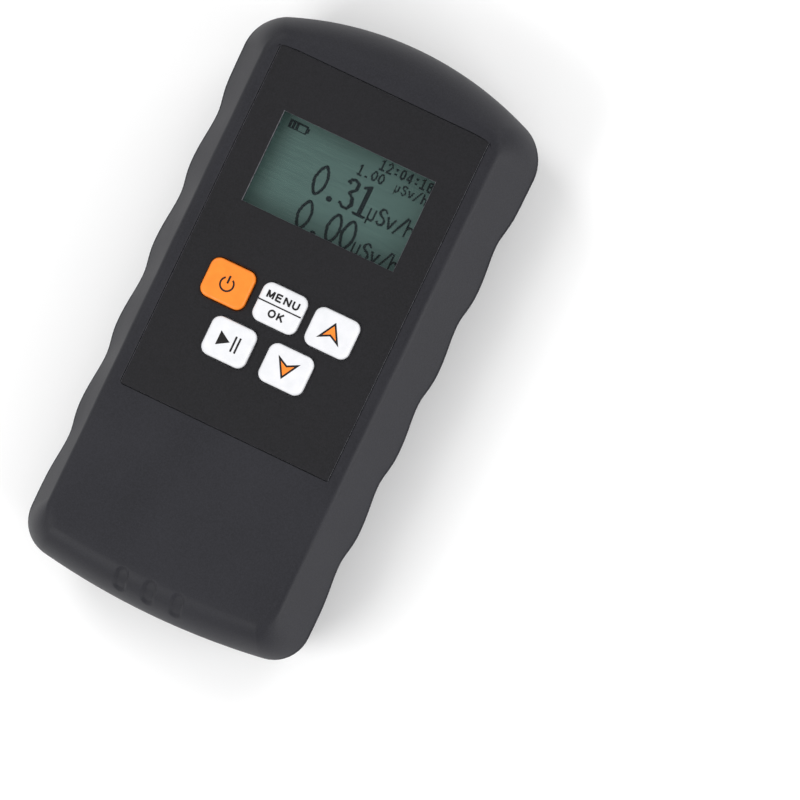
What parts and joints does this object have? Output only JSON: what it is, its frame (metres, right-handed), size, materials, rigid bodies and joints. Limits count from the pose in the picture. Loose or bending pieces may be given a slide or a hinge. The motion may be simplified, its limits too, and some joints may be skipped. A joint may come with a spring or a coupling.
{
  "type": "geiger counter",
  "caption": "Handheld radiation survey meter with an arched top, finger-grip sides, a framed display, raised keys and a slide-off battery door at the heel.",
  "frame": {"origin": "middle of the outline, on the flat back face that it rests on", "axes": "+X to the right of someone reading the display, +Y towards the arched top end, +Z out of the front face"},
  "size_m": [0.081, 0.155, 0.0331],
  "materials": {
    "shell": "fine spark texture, satin",
    "panel": "fine grained polycarbonate film",
    "key_white": "smooth",
    "key_orange": "smooth",
    "clear_pane": "clear acrylic",
    "lcd": "grey-green display with dark segments",
    "diffuser": "milky",
    "steel": "zinc plated",
    "nickel": "nickel plated spring steel",
    "board": "green solder mask",
    "chip": "moulded black",
    "tube_metal": "drawn steel tube",
    "ferrite": "ferrite core",
    "cell_sleeve": "printed shrink sleeve",
    "wire_red": "PVC",
    "wire_black": "PVC"
  },
  "bodies": {
    "housing": {"front_shell": "shell", "back_shell": "shell", "front_panel": "panel", "display_pane": "clear_pane", "lcd_glass": "lcd", "lcd_backlight": "diffuser", "lcd_bezel": "steel", "switch_power": "chip", "switch_menu": "chip", "switch_up": "chip", "switch_run": "chip", "switch_down": "chip", "main_board": "board", "processor": "chip", "crystal": "nickel", "buzzer": "chip", "hv_inductor": "ferrite", "hv_capacitor_1": "tube_metal", "hv_capacitor_2": "tube_metal", "board_screw_top_left": "steel", "board_screw_top_right": "steel", "board_screw_heel_left": "steel", "board_screw_heel_right": "steel", "case_screw_left": "steel", "case_screw_right": "steel", "detector_tube": "tube_metal", "tube_cap_heel": "nickel", "tube_cap_top": "nickel", "tube_clip_heel": "nickel", "tube_clip_top": "nickel", "cell_upper": "cell_sleeve", "cell_lower": "cell_sleeve", "bridge_plate": "nickel", "bridge_spring": "nickel", "negative_plate": "nickel", "negative_spring": "nickel", "positive_plate": "nickel", "supply_wire_red": "wire_red", "supply_wire_black": "wire_black"},
    "power_key": {"key_power": "key_orange", "plunger_power": "chip"},
    "menu_key": {"key_menu": "key_white", "plunger_menu": "chip"},
    "up_key": {"key_up": "key_white", "plunger_up": "chip"},
    "run_key": {"key_run": "key_white", "plunger_run": "chip"},
    "down_key": {"key_down": "key_white", "plunger_down": "chip"},
    "door": {"battery_door": "shell"}
  },
  "joints": [
    {"name": "power_press", "type": "slide", "parent": "housing", "child": "power_key", "axis": [0, 0, -1], "range_m": [0, 0.0005], "stiffness_N_per_m": 2000, "springref_m": -0.0004},
    {"name": "menu_press", "type": "slide", "parent": "housing", "child": "menu_key", "axis": [0, 0, -1], "range_m": [0, 0.0005], "stiffness_N_per_m": 2000, "springref_m": -0.0004},
    {"name": "up_press", "type": "slide", "parent": "housing", "child": "up_key", "axis": [0, 0, -1], "range_m": [0, 0.0005], "stiffness_N_per_m": 2000, "springref_m": -0.0004},
    {"name": "run_press", "type": "slide", "parent": "housing", "child": "run_key", "axis": [0, 0, -1], "range_m": [0, 0.0005], "stiffness_N_per_m": 2000, "springref_m": -0.0004},
    {"name": "down_press", "type": "slide", "parent": "housing", "child": "down_key", "axis": [0, 0, -1], "range_m": [0, 0.0005], "stiffness_N_per_m": 2000, "springref_m": -0.0004},
    {"name": "door_slide", "type": "slide", "parent": "housing", "child": "door", "axis": [0, -1, 0], "range_m": [0, 0.045]}
  ]
}
